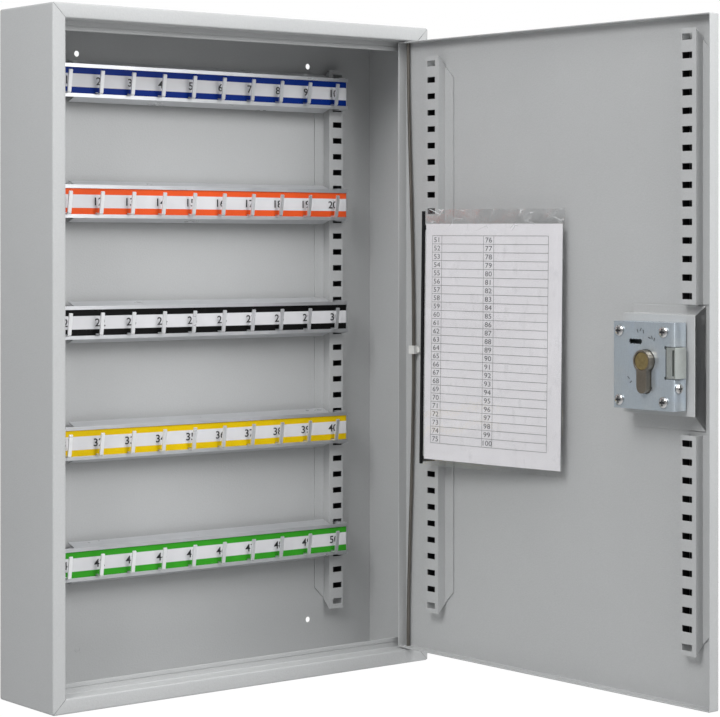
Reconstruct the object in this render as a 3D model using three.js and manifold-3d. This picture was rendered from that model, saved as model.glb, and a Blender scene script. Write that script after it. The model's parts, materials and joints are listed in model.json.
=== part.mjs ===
// Wall key cabinet: folded steel box, five rails of ten hooks, and a door with a euro cylinder lock,
// shown with the door open. Millimetres, +Z up. The origin is the centre of the back panel's rear face,
// which lies on the wall; +Y points into the wall and +X to the hinge side.
import * as THREE from "three";
import { mergeVertices } from "three/addons/utils/BufferGeometryUtils.js";
import Module from "manifold-3d";

const wasm = await Module();
wasm.setup();

// ---------------------------------------------------------------- driving dimensions
const HALF_W = 190; // cabinet half width
const HALF_H = 275; // cabinet half height
const DEPTH = 80;
const SHEET = 1; // steel sheet thickness
const FLANGE = 12; // front flange width
const REBATE = 16; // depth of the rebate that takes the door
const LIP = 8; // inner lip behind the door
const GAP = 0.3; // between pieces that rest on each other inside the turned door

const HINGE_X = 170.5;
const HINGE_SET_BACK = 3.5; // hinge axis behind the door's outer skin
const OPEN_ANGLE = THREE.MathUtils.degToRad(91.5);

const DOOR_EDGE = 6; // door beyond the hinge axis, on the hinge side
const DOOR_REACH = 345.8; // hinge axis to the door's free edge
const DOOR_HALF_H = 262;
const DOOR_DEPTH = 10;
const HINGE_EDGE_DEPTH = 5.5; // the door's flange on the hinge side is shallower

const HOLE_PITCH = 14; // perforated strips
const LAST_HOLE = 33; // holes are numbered from zero at the bottom
const HOLE_W = 10;
const HOLE_H = 4.9;
const STRIP_LOW_HOLE = -228;
const STRIP_FACE = 15;
const STRIP_FOOT = 10;
const STRIP_RISE = 9;
const STRIP_END = 6.3; // strip beyond its outermost hole centres
const STRIP_OUTER = 150.9; // outer edge of both cabinet strips, from the middle
const HOLE_FROM_EDGE = 6; // hole centres, from the strip's outer edge
// The door's strips: outer edge from the hinge axis, and height above the cabinet's.
const HINGE_STRIP = { outer: 30.7, lift: 7.3 };
const LOCK_STRIP_OUTER = 317.4;

const RAIL_HALF = 150;
const RAIL_CENTRES = [219.6, 122, 23.8, -73.5, -171.4];
const RAIL_FRONT = -18; // front of the rail's lips
const RAIL_HALF_H = 13.5;
const RAIL_LEAN = THREE.MathUtils.degToRad(0.25); // the rails hang a little low on the hinge side
const HOOK_COUNT = 10;
const HOOK_PITCH = 30.35;
const HOOK_SHIFT = -3.3; // the row of hooks sits left of the rail's middle
const HOOK_W = 3.3;
const ROD_R = 1.5;
const ROD_BOW = 7;

const CYL_U = 300; // cylinder axis, from the hinge axis towards the free edge
const CYL_R = 8.5;
const CYL_SLOT_R = 5;
const CYL_DROP = 28; // from the cylinder's top to the centre of its lower round end
const CYL_INNER = 35.5; // cylinder's inner end, from the door's outer skin
const PLUG_R = 6.7;
const CAM_R = 13;

// ---------------------------------------------------------------- solids
// A closed three.js geometry as a manifold-3d solid, and back.
function solid(geometry) {
  const bare = geometry.clone();
  bare.deleteAttribute("normal");
  bare.deleteAttribute("uv");
  const merged = mergeVertices(bare, 1e-4);
  return new wasm.Manifold(
    new wasm.Mesh({
      numProp: 3,
      vertProperties: new Float32Array(merged.attributes.position.array),
      triVerts: new Uint32Array(merged.index.array),
    }),
  );
}

function geometryOf(body) {
  const mesh = body.getMesh();
  const geometry = new THREE.BufferGeometry();
  geometry.setAttribute("position", new THREE.BufferAttribute(mesh.vertProperties, 3));
  geometry.setIndex(new THREE.BufferAttribute(mesh.triVerts, 1));
  const flat = geometry.toNonIndexed();
  flat.computeVertexNormals();
  return flat;
}

const ordered = (a, b) => [Math.min(a, b), Math.max(a, b)];
const join = (...bodies) => bodies.reduce((all, body) => all.add(body));
const cut = (body, ...tools) => tools.reduce((rest, tool) => rest.subtract(tool), body);

function box(x0, x1, y0, y1, z0, z1) {
  const geometry = new THREE.BoxGeometry(Math.abs(x1 - x0), Math.abs(y1 - y0), Math.abs(z1 - z0));
  geometry.translate((x0 + x1) / 2, (y0 + y1) / 2, (z0 + z1) / 2);
  return solid(geometry);
}

function shapeOf(points) {
  return new THREE.Shape(points.map(([a, b]) => new THREE.Vector2(a, b)));
}

// A shape pushed along one axis. The shape's own axes are (Y, Z) for "x", (X, Z) for "y", (X, Y) for "z".
function prism(shape, axis, from, to, curveSegments = 8) {
  const geometry = new THREE.ExtrudeGeometry(shape, { depth: to - from, bevelEnabled: false, curveSegments });
  if (axis === "z") geometry.translate(0, 0, from);
  if (axis === "y") geometry.rotateX(Math.PI / 2).translate(0, to, 0);
  if (axis === "x") {
    geometry.rotateX(Math.PI / 2).rotateZ(Math.PI / 2).translate(from, 0, 0);
  }
  return solid(geometry);
}

// A round bar along an axis, centred on (a, b) of the other two axes.
function bar(axis, a, b, radius, from, to, sides = 16) {
  const shape = new THREE.Shape();
  shape.absarc(a, b, radius, 0, 2 * Math.PI);
  return prism(shape, axis, from, to, sides);
}

// A rectangular ring of sheet seen from the front, between two half sizes.
function ring(halfX, halfZ, holeX, holeZ, y0, y1) {
  const outer = box(-halfX, halfX, y0, y1, -halfZ, halfZ);
  return cut(outer, box(-holeX, holeX, y0 - 1, y1 + 1, -holeZ, holeZ));
}

// ---------------------------------------------------------------- materials and meshes
const paint = { color: 0xb4b6b8, roughness: 0.55, metalness: 0.1 };
const zinc = { color: 0xc3c8cf, roughness: 0.32, metalness: 0.95 };
const steel = { color: 0xb0b2b4, roughness: 0.3, metalness: 1 };
const brass = { color: 0xa68a4f, roughness: 0.35, metalness: 1 };
const nickel = { color: 0x8d8374, roughness: 0.35, metalness: 1 };
const nylon = { color: 0xe6e6e2, roughness: 0.5, metalness: 0 };
const black = { color: 0x17181a, roughness: 0.45, metalness: 0 };
const film = { color: 0xdfe3e6, roughness: 0.15, metalness: 0, transparent: true, opacity: 0.3 };
const paper = { color: 0xe8e8ea, roughness: 0.9, metalness: 0 };
const LABEL_COLOURS = [0x2348a8, 0xe8502a, 0x111214, 0xe8c81e, 0x3aa832];

function part(parent, name, body, look) {
  const mesh = new THREE.Mesh(geometryOf(body), new THREE.MeshStandardMaterial(look));
  mesh.name = name;
  parent.add(mesh);
}

// ---------------------------------------------------------------- cabinet box
const OPEN_X = HALF_W - FLANGE; // half opening between the front flanges
const OPEN_Z = HALF_H - FLANGE;
const LIP_Y = REBATE - DEPTH; // front of the inner lip
const ROD_Y = HINGE_SET_BACK - DEPTH;

function cabinetShell() {
  const inset = SHEET;
  const shell = join(
    ring(HALF_W, HALF_H, HALF_W - inset, HALF_H - inset, -DEPTH, 0),
    ring(HALF_W, HALF_H, OPEN_X, OPEN_Z, -DEPTH, SHEET - DEPTH),
    ring(OPEN_X + inset, OPEN_Z + inset, OPEN_X, OPEN_Z, -DEPTH, LIP_Y + SHEET),
    ring(OPEN_X + inset, OPEN_Z + inset, OPEN_X - LIP, OPEN_Z - LIP, LIP_Y, LIP_Y + SHEET),
  );
  return cut(shell, bar("z", HINGE_X, ROD_Y, ROD_R + 0.4, -OPEN_Z - 2, OPEN_Z + 2, 6));
}

function backPanel() {
  const holeX = 119;
  const holeZ = 243;
  const holes = [];
  for (const x of [-holeX, holeX]) {
    for (const z of [-holeZ, holeZ]) holes.push(bar("y", x, z, 2.5, -3, 1, 6));
  }
  return cut(box(SHEET - HALF_W, HALF_W - SHEET, -SHEET, 0, SHEET - HALF_H, HALF_H - SHEET), ...holes);
}

// A perforated channel with one foot. Its face starts at x = outer and runs inward (+1 or -1), it stands
// out (+1 or -1) from the plane y = seat, and the foot carries on inward. It spans holes first to last. At
// an end hole of the full row, the wall and the foot are cut away on the slant.
function perforatedStrip({ outer, inward, seat, out, lift, first, last }) {
  const x = (across) => outer + inward * across;
  const y = (rise) => seat + out * rise;
  const holeZ = (i) => STRIP_LOW_HOLE + lift + i * HOLE_PITCH;
  const bottom = holeZ(first) - STRIP_END;
  const top = holeZ(last) + STRIP_END;
  const web = STRIP_FACE - SHEET;
  const footEnd = STRIP_FACE + STRIP_FOOT;
  let strip = join(
    box(x(0), x(STRIP_FACE), y(STRIP_RISE - SHEET), y(STRIP_RISE), bottom, top),
    box(x(0), x(SHEET), y(0), y(STRIP_RISE), bottom, top),
    box(x(web), x(STRIP_FACE), y(0), y(STRIP_RISE), bottom, top),
    box(x(web), x(footEnd), y(0), y(SHEET), bottom, top),
  );
  for (let i = first; i <= last; i++) {
    const z = holeZ(i);
    const across = [x(HOLE_FROM_EDGE - HOLE_W / 2), x(HOLE_FROM_EDGE + HOLE_W / 2)];
    const through = [y(STRIP_RISE - 2), y(STRIP_RISE + 1)];
    strip = cut(strip, box(...across, ...through, z - HOLE_H / 2, z + HOLE_H / 2));
  }
  const ends = [];
  if (last === LAST_HOLE) ends.push([top, 1]);
  if (first === 0) ends.push([bottom, -1]);
  const spill = 1; // how far the cutters stand clear of the sheet
  const slant = (across, end, up) => {
    const drop = Math.abs(across[1] - across[0]);
    const outside = end + up * (STRIP_RISE + spill);
    return shapeOf([[across[0], outside], [across[0], end], [across[1], end - up * drop], [across[1], outside]]);
  };
  const corners = ends.flatMap(([end, up]) => {
    const wall = slant([y(STRIP_RISE), y(-spill)], end, up);
    const foot = slant([x(STRIP_FACE), x(footEnd + spill)], end - up * STRIP_RISE, up);
    return [
      prism(wall, "x", ...ordered(x(web), x(footEnd + spill))),
      prism(foot, "y", ...ordered(y(-spill), y(SHEET + spill))),
    ];
  });
  return cut(strip, ...corners);
}

// ---------------------------------------------------------------- rails and labels
const hookX = (i) => (i - (HOOK_COUNT - 1) / 2) * HOOK_PITCH + HOOK_SHIFT;
const FACE_Y = RAIL_FRONT + 1; // front of the rail's face plate, behind the label

function hook(x) {
  // Side outline in (Y, Z): a foot straight out of the face, then an arm that leans forward.
  const side = shapeOf([
    [FACE_Y + 0.5, -10.8],
    [RAIL_FRONT - 4.2, -10.8],
    [RAIL_FRONT - 5.6, -9.6],
    [RAIL_FRONT - 8, 7.6],
    [RAIL_FRONT - 7, 8.2],
    [RAIL_FRONT - 6.6, 7.4],
    [RAIL_FRONT - 4.5, -8.6],
    [RAIL_FRONT - 3.9, -9.6],
    [FACE_Y + 0.5, -9.6],
  ]);
  return prism(side, "x", x - HOOK_W / 2, x + HOOK_W / 2);
}

function rail() {
  const h = RAIL_HALF_H;
  const lip = 3;
  const spread = 3.5; // the flanges open out this much towards the back
  const flangeHalf = 131; // the slanted flanges stop between the strips
  const parts = [box(-RAIL_HALF, RAIL_HALF, FACE_Y, FACE_Y + SHEET, -h, h)];
  for (const side of [-1, 1]) {
    parts.push(box(-RAIL_HALF, RAIL_HALF, RAIL_FRONT - 0.6, FACE_Y + 0.5, side * (h - SHEET), side * h));
    parts.push(box(-RAIL_HALF, RAIL_HALF, RAIL_FRONT - 0.6, RAIL_FRONT, side * (h - lip), side * h));
    const slant = [
      [FACE_Y + 0.5, side * h],
      [-7, side * (h + spread)],
      [-7, side * (h + spread - SHEET)],
      [FACE_Y + 0.5, side * (h - SHEET)],
    ];
    parts.push(prism(shapeOf(slant), "x", -flangeHalf, flangeHalf));
    const tabX = STRIP_OUTER - HOLE_FROM_EDGE;
    for (const x of [-tabX, tabX]) {
      parts.push(box(x - 3.4, x + 3.4, FACE_Y, -6.5, side * (h - 0.6), side * (h + 0.9)));
    }
  }
  for (let i = 0; i < HOOK_COUNT; i++) parts.push(hook(hookX(i)));
  return join(...parts);
}

function labelStrip() {
  const halfH = 11.2;
  let strip = box(1.5 - RAIL_HALF, RAIL_HALF - 1.5, RAIL_FRONT + 0.2, FACE_Y - 0.2, -halfH, halfH);
  const slotHalf = HOOK_W / 2 + 0.4;
  for (let i = 0; i < HOOK_COUNT; i++) {
    const x = hookX(i);
    strip = cut(strip, box(x - slotHalf, x + slotHalf, RAIL_FRONT - 1, FACE_Y + 1, -halfH - 1, -9.2));
  }
  return strip;
}

// ---------------------------------------------------------------- door
// Door parts are drawn closed, in the frame of the hinge axis: -X runs to the free edge, y = 0 is the axis,
// the outer skin is at y = -HINGE_SET_BACK. u is measured from the axis to the free edge, w from the skin.
const yAt = (w) => w - HINGE_SET_BACK;
const doorBox = (u0, u1, w0, w1, z0, z1) => box(-u1, -u0, yAt(w0), yAt(w1), z0, z1);

function cylinderShape(clearance = 0) {
  const r = CYL_R + clearance;
  const s = CYL_SLOT_R + clearance;
  const low = CYL_R - CYL_DROP;
  const meet = Math.asin(s / r);
  const shape = new THREE.Shape();
  shape.absarc(-CYL_U, 0, r, meet - Math.PI / 2, 1.5 * Math.PI - meet, false);
  shape.absarc(-CYL_U, low, s, Math.PI, 2 * Math.PI, false);
  return shape;
}

const STRIP_SEAT = SHEET + GAP;
const ROD_END = 268;
const BOW_END = 256;

function doorPan() {
  const h = DOOR_HALF_H;
  const pan = cut(
    doorBox(-DOOR_EDGE, DOOR_REACH, 0, DOOR_DEPTH, -h, h),
    doorBox(SHEET - DOOR_EDGE, DOOR_REACH - SHEET, SHEET, DOOR_DEPTH + 1, SHEET - h, h - SHEET),
  );
  return cut(
    pan,
    doorBox(-DOOR_EDGE - 1, SHEET - DOOR_EDGE, HINGE_EDGE_DEPTH, DOOR_DEPTH + 1, SHEET - h, h - SHEET),
    bar("z", 0, 0, ROD_R + 0.4, -h - 1, h + 1, 6),
    prism(cylinderShape(0.5), "y", yAt(-1), yAt(2)),
  );
}

// The rod is straight where it turns in the frame, and bowed towards the free edge between.
class RodPath extends THREE.Curve {
  getPoint(t, target = new THREE.Vector3()) {
    const z = (2 * t - 1) * ROD_END;
    const share = Math.max(0, 1 - (z / BOW_END) ** 2);
    return target.set(-ROD_BOW * share ** 2, 0, z);
  }
}

function hingeRod() {
  const section = new THREE.Shape();
  section.absarc(0, 0, ROD_R, 0, 2 * Math.PI);
  return solid(
    new THREE.ExtrudeGeometry(section, { steps: 32, curveSegments: 5, extrudePath: new RodPath() }),
  );
}

function rodClip() {
  const block = join(doorBox(4.8, 11.5, 1.4, 7.4, -7.5, -0.5), doorBox(11, 15, 1.4, 4, -6.2, -1.8));
  return cut(block, bar("z", -ROD_BOW, 0, ROD_R + 0.35, -9, 1, 6));
}

// ---------------------------------------------------------------- lock
const BRACKET = { u0: 262, u1: 334.5, low: -41.5, high: 35.3, top: 14, foot: 6.6, lowFoot: 11.5 };
const CASE = { u0: 267, u1: 326, low: -37, high: 29.5, floor: 14.3, rim: 28.7, front: 30, wall: 1.2 };
const SCREW_SPOTS = [[273.2, 22.3], [318, 22.3], [273.2, -30.6], [318, -30.6]];
const BOLT = { low: -12.5, high: 11, back: 17.5, headBack: 17.4, step: 28.2, front: 29.7, end: 329 };
const BOLT_CUT = { u0: 319.6, low: -13, high: 11.5 }; // the cover's window for the bolt
const CYL_SCREW = { w: 23.8, z: -20 };

const fullStrip = { first: 0, last: LAST_HOLE };
const onDoor = { seat: yAt(STRIP_SEAT), out: 1 };

function hingeSideStrip() {
  const { outer, lift } = HINGE_STRIP;
  return perforatedStrip({ ...onDoor, ...fullStrip, outer: -outer, inward: -1, lift });
}

// The strip by the free edge is in two lengths, above and below the lock's bracket.
function lockSideStrip(lift, first, last) {
  return perforatedStrip({ ...onDoor, outer: -LOCK_STRIP_OUTER, inward: -1, lift, first, last });
}

const lockHole = (clearance, w0, w1) => prism(cylinderShape(clearance), "y", yAt(w0), yAt(w1));

function lockBracket() {
  const { u0, u1, low, high, top, foot, lowFoot } = BRACKET;
  const seat = STRIP_SEAT;
  const hat = join(
    doorBox(u0, u1, top - SHEET, top, low, high),
    doorBox(u0, u1, seat, top, high - SHEET, high),
    doorBox(u0, u1, seat, top, low, low + SHEET),
    doorBox(u0, u1, seat, seat + SHEET, high - SHEET, high + foot),
    doorBox(u0, u1, seat, seat + SHEET, low - lowFoot, low + SHEET),
  );
  return cut(hat, lockHole(0.6, top - 3, top + 1));
}

function lockCase() {
  const { u0, u1, low, high, floor, rim, wall } = CASE;
  let tray = cut(
    doorBox(u0, u1, floor, rim, low, high),
    doorBox(u0 + wall, u1 - wall, floor + wall, rim + 1, low + wall, high - wall),
  );
  for (const [u, z] of SCREW_SPOTS) tray = join(tray, bar("y", -u, z, 3.2, yAt(floor + 0.5), yAt(rim), 6));
  for (const [u, z] of SCREW_SPOTS) tray = cut(tray, bar("y", -u, z, 1.9, yAt(floor + 3), yAt(rim + 1), 6));
  return cut(
    tray,
    lockHole(0.6, floor - 1, floor + wall + 1),
    doorBox(u1 - wall - 1, u1 + 1, BOLT.headBack - 0.4, rim + 1, BOLT_CUT.low, BOLT_CUT.high),
    bar("x", yAt(CYL_SCREW.w), CYL_SCREW.z, 2.6, -u1 - 1, -u1 + wall + 1, 6),
  );
}

const BEND = 1.9; // outer radius of the cover's bend

function coverBend(u, w, low, high) {
  const shape = new THREE.Shape();
  shape.absarc(BEND - u, yAt(w - BEND), BEND, Math.PI / 2, Math.PI, false);
  shape.absarc(BEND - u, yAt(w - BEND), BEND - SHEET, Math.PI, Math.PI / 2, true);
  return prism(shape, "z", low, high, 6);
}

// The cover is bent over the free-edge side of the case; its window for the bolt wraps round the bend and
// ends in two small relief holes.
function lockPlate() {
  const { u0, u1, low, high, rim, front } = CASE;
  const side = u1 + GAP;
  let plate = join(
    doorBox(u0, side + SHEET - BEND, rim + GAP, front, low, high),
    doorBox(side, side + SHEET, 16, front - BEND, low, high),
    coverBend(side + SHEET, front, low, high),
  );
  plate = cut(plate, lockHole(0.5, rim - 1, front + 1));
  plate = cut(plate, doorBox(BOLT_CUT.u0, side + 2, 14, front + 1, BOLT_CUT.low, BOLT_CUT.high));
  for (const z of [BOLT_CUT.low + 0.8, BOLT_CUT.high - 0.8]) {
    plate = cut(plate, bar("y", -BOLT_CUT.u0, z, 1.3, yAt(rim - 1), yAt(front + 1), 6));
  }
  const through = [yAt(rim - 1), yAt(front + 1)];
  for (const [u, z] of SCREW_SPOTS) plate = cut(plate, bar("y", -u, z, 1.9, ...through, 6));
  for (let i = 0; i < 4; i++) { // a row of punched holes that run into each other, above the cylinder
    plate = cut(plate, bar("y", 15.2 - 3 * i - CYL_U, 14.5, 2.1, ...through, 6));
  }
  return cut(plate, bar("x", yAt(CYL_SCREW.w), CYL_SCREW.z, 2.6, -side - 2, -side + 1, 6));
}

// Domed cross-head screw lying along an axis; the head's underside is at zero and it points to +1 or -1.
function screw(headR, headH, shankR, shankLength) {
  const profile = [
    [0, -shankLength],
    [shankR, -shankLength],
    [shankR, 0],
    [headR, 0],
    [headR * 0.96, headH * 0.4],
    [headR * 0.62, headH * 0.85],
    [headR * 0.25, headH],
    [0, headH],
  ].map(([r, h]) => new THREE.Vector2(r, h));
  return new THREE.LatheGeometry(profile, 12);
}

function crossHead(headR, headH) {
  const arm = headR * 0.62;
  const cuts = [];
  for (const [a, b] of [[arm, 0.45], [0.45, arm]]) {
    const slot = new THREE.BoxGeometry(2 * a, headH, 2 * b);
    cuts.push(slot.translate(0, headH * 0.9, 0));
  }
  return cuts;
}

// Lathe shapes stand along +Y; turn() lays them where they go before they become solids.
function screwSolid(headR, headH, shankR, shankLength, turn) {
  const body = solid(turn(screw(headR, headH, shankR, shankLength)));
  return cut(body, ...crossHead(headR, headH).map((slot) => solid(turn(slot))));
}

function plateScrew(u, z) {
  return screwSolid(4, 2, 1.5, 9, (g) => g.translate(-u, yAt(CASE.front + GAP), z));
}

function cylinderScrew() {
  const seat = -(CASE.u1 + GAP + SHEET + GAP);
  const lay = (g) => g.rotateZ(Math.PI / 2).translate(seat, yAt(CYL_SCREW.w), CYL_SCREW.z);
  return screwSolid(3.6, 1.6, 2, 22, lay);
}

// Head with a slot near its corner, thin tail plate, and an arm that runs back over the cylinder.
function boltBody() {
  const { low, high, back, headBack, step, front, end } = BOLT;
  const tail = back + 2;
  const headStart = CYL_U + CAM_R + 1.3;
  const overCylinder = CYL_R + 0.9;
  const body = join(
    doorBox(headStart, end, headBack, step, low, high),
    doorBox(BOLT_CUT.u0 + 0.7, end, headBack, front, low, high),
    doorBox(CYL_U + CYL_R + 1.8, headStart + 1, back, tail, low + 1, high),
    doorBox(CYL_U - 2, headStart + 1, back, tail, overCylinder, high),
    doorBox(272.2, 310, back, tail, overCylinder, 17),
  );
  const groove = doorBox(end - 3, end - 1, front - 4, front + 1, low + 2, high - 2);
  return cut(body, groove);
}

function detentSpring() {
  const top = CASE.high - CASE.wall - GAP;
  const tip = 17.5;
  const thick = 0.7;
  const middle = (SCREW_SPOTS[0][0] + SCREW_SPOTS[1][0]) / 2;
  const reach = 17;
  const outer = [[-reach, top], [-reach + 6, top], [0, tip + thick + 0.6], [reach - 6, top], [reach, top]];
  const inner = [
    [reach, top - thick], [reach - 6.4, top - thick], [1.2, tip], [-1.2, tip], [6.4 - reach, top - thick],
    [-reach, top - thick],
  ];
  const outline = shapeOf([...outer, ...inner].map(([x, z]) => [x - middle, z]));
  return prism(outline, "y", yAt(BOLT.back), yAt(BOLT.back + 2));
}

function cylinderBody() {
  const cam = { w0: 20, w1: 27.6 };
  const bridge = -14.5;
  return cut(
    prism(cylinderShape(), "y", yAt(-3), yAt(CYL_INNER)),
    bar("y", -CYL_U, 0, PLUG_R + 0.3, yAt(-4), yAt(CYL_INNER + 1), 10),
    doorBox(CYL_U - 10, CYL_U + 10, cam.w0, cam.w1, bridge, 10),
    bar("x", yAt(CYL_SCREW.w), CYL_SCREW.z, 2.3, -CYL_U - 8, -CYL_U + 4, 6),
  );
}

function cylinderPlug() {
  const plug = bar("y", -CYL_U, 0, PLUG_R, yAt(-2.8), yAt(CYL_INNER - 0.4), 12);
  const keyway = doorBox(CYL_U - 0.8, CYL_U + 0.8, -4, 17, -4.6, 3.4);
  return cut(plug, keyway);
}

function cylinderCam() {
  const w0 = 20.4;
  const w1 = 27.2;
  const ringOut = bar("y", -CYL_U, 0, 8.3, yAt(w0), yAt(w1), 10);
  const rim = CAM_R - 0.6;
  const half = [[-3.4, 4], [-2.4, rim], [0, CAM_R], [2.4, rim], [3.4, 4]];
  const lobe = shapeOf(half.map(([x, z]) => [x - CYL_U, z]));
  return cut(
    join(ringOut, prism(lobe, "y", yAt(w0), yAt(w1))),
    bar("y", -CYL_U, 0, PLUG_R + 0.3, yAt(w0 - 1), yAt(w1 + 1), 10),
  );
}

// Rosette on the outside of the door, a long round-ended plate round the cylinder.
function escutcheon() {
  const r = 14.5;
  const shape = new THREE.Shape();
  shape.absarc(-CYL_U, 2, r, 0, Math.PI, false);
  shape.absarc(-CYL_U, -18, r, Math.PI, 2 * Math.PI, false);
  return cut(prism(shape, "y", yAt(-3), yAt(-GAP), 10), lockHole(0.5, -4, 1));
}

// ---------------------------------------------------------------- index holder
const SPINE = { u: 42, w: 25, half: 1.2, low: -98.5, high: 115 };
const SLEEVE = { u0: 43.6, u1: 194.5, low: -99, high: 116.5, half: 1.2 };
const SHEET_SIZE = { u0: 45.4, u1: 190.6, low: -94, high: 104.3, half: 0.35 };
const HOLDER_TILT = THREE.MathUtils.degToRad(0.8); // the holder hangs with its lower end further out
const CLIP_HOLES = [9, 23]; // strip holes that take the spine's clips

// The sleeve bends gently back towards the panel as it leaves the spine.
const sleeveW = (u) => SPINE.w - 16 * ((u - SPINE.u) / (SLEEVE.u1 - SPINE.u)) ** 1.25;

// A curved band that follows the sleeve, between u0 and u1, half thick on each side.
function band(u0, u1, half, low, high) {
  const steps = 12;
  const front = [];
  const back = [];
  for (let i = 0; i <= steps; i++) {
    const u = u0 + ((u1 - u0) * i) / steps;
    front.push([-u, yAt(sleeveW(u) + half)]);
    back.unshift([-u, yAt(sleeveW(u) - half)]);
  }
  return prism(shapeOf([...front, ...back]), "z", low, high);
}

function indexSpine() {
  const { u, w, half, low, high } = SPINE;
  return doorBox(u - half, u + half, w - half, w + half, low, high);
}

function indexSleeve() {
  const { u0, u1, low, high, half } = SLEEVE;
  return cut(band(u0, u1, half, low, high), band(u0 + 1, u1 - 1, half - 0.4, low + 2, high + 1));
}

function indexSheet() {
  const { u0, u1, low, high, half } = SHEET_SIZE;
  return band(u0, u1, half, low, high);
}

// A clip through a strip hole, with a pad against the back of the spine.
function spineClip(hole) {
  const z = STRIP_LOW_HOLE + HINGE_STRIP.lift + hole * HOLE_PITCH;
  const holeU = HINGE_STRIP.outer + HOLE_FROM_EDGE;
  const pad = SPINE.w - SPINE.half - GAP - z * Math.tan(HOLDER_TILT) - 0.1;
  return join(
    doorBox(holeU - 2, holeU + 3.5, 7.5, pad, z - 1.8, z + 1.8),
    doorBox(holeU - 2, SPINE.u + SPINE.half, pad - 1.2, pad, z - 3, z + 3),
  );
}

// ---------------------------------------------------------------- assembly
const cabinet = new THREE.Group();
const door = new THREE.Group();
door.position.set(HINGE_X, ROD_Y, 0);
door.rotation.z = OPEN_ANGLE;

part(cabinet, "cabinet_shell", cabinetShell(), paint);
part(cabinet, "back_panel", backPanel(), paint);
const onBack = { ...fullStrip, seat: -SHEET, out: -1, lift: 0 };
part(cabinet, "strip_left", perforatedStrip({ ...onBack, outer: -STRIP_OUTER, inward: 1 }), paint);
part(cabinet, "strip_right", perforatedStrip({ ...onBack, outer: STRIP_OUTER, inward: -1 }), paint);
RAIL_CENTRES.forEach((z, i) => {
  const row = new THREE.Group();
  row.position.z = z;
  row.rotation.y = RAIL_LEAN;
  part(row, "rail_" + (i + 1), rail(), zinc);
  part(row, "label_" + (i + 1), labelStrip(), { ...paper, color: LABEL_COLOURS[i] });
  cabinet.add(row);
});

part(door, "door_pan", doorPan(), paint);
part(door, "door_strip_hinge", hingeSideStrip(), paint);
part(door, "door_strip_lock_top", lockSideStrip(11.2, 19, LAST_HOLE), paint);
part(door, "door_strip_lock_bottom", lockSideStrip(11.8, 0, 11), paint);
part(door, "hinge_rod", hingeRod(), steel);
part(door, "rod_clip", rodClip(), nylon);
part(door, "lock_bracket", lockBracket(), paint);
part(door, "lock_case", lockCase(), zinc);
part(door, "lock_plate", lockPlate(), zinc);
SCREW_SPOTS.forEach(([u, z], i) => part(door, "plate_screw_" + (i + 1), plateScrew(u, z), zinc));
part(door, "cylinder_screw", cylinderScrew(), zinc);
part(door, "bolt", boltBody(), zinc);
part(door, "detent_spring", detentSpring(), steel);
part(door, "cylinder_body", cylinderBody(), nickel);
part(door, "cylinder_plug", cylinderPlug(), brass);
part(door, "cylinder_cam", cylinderCam(), steel);
part(door, "escutcheon", escutcheon(), zinc);
const holder = new THREE.Group();
holder.rotation.x = HOLDER_TILT;
door.add(holder);
part(holder, "index_spine", indexSpine(), black);
part(holder, "index_sleeve", indexSleeve(), film);
part(holder, "index_sheet", indexSheet(), paper);
CLIP_HOLES.forEach((hole, i) => part(door, "spine_clip_" + (i ? "top" : "bottom"), spineClip(hole), black));

const keyCabinet = new THREE.Group();
keyCabinet.add(cabinet, door);
export default keyCabinet;
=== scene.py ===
"""Key cabinet with its door open, in a plain pale studio.

Lengths in this script are millimetres unless a name says otherwise; MM turns them into Blender's metres.
The cabinet's back lies on y = 0, its front is at y = -DEPTH, and z = 0 is half its height.
Door pieces are drawn in door coordinates: u from the hinge axis towards the free edge, w from the door's
outer skin inwards, and z up.
"""
import json
import math
import random

import bmesh
import bpy
from mathutils import Matrix, Vector


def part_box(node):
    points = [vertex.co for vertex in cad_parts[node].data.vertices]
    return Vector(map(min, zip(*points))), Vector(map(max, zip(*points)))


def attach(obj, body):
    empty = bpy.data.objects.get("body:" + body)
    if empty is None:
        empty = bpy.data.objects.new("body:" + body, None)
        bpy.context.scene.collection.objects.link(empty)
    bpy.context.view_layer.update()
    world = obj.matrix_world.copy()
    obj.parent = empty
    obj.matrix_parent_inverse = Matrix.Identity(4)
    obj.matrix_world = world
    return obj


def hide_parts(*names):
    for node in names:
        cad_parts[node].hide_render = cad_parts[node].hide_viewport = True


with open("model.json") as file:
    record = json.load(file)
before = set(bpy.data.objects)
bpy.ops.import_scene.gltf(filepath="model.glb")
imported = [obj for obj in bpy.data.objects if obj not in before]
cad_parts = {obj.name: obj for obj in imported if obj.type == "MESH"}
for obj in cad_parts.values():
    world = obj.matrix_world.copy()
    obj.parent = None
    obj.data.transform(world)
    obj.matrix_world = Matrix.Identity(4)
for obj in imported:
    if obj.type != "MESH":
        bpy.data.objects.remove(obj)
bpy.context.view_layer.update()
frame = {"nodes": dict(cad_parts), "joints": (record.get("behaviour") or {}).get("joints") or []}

MM = 0.001
NODES = frame["nodes"]
JOINTS = {joint["name"]: joint for joint in frame["joints"]}


def size_of(node):
    """Lowest and highest corner of a CAD node at rest, in millimetres."""
    low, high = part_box(node)
    return low / MM, high / MM


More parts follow.
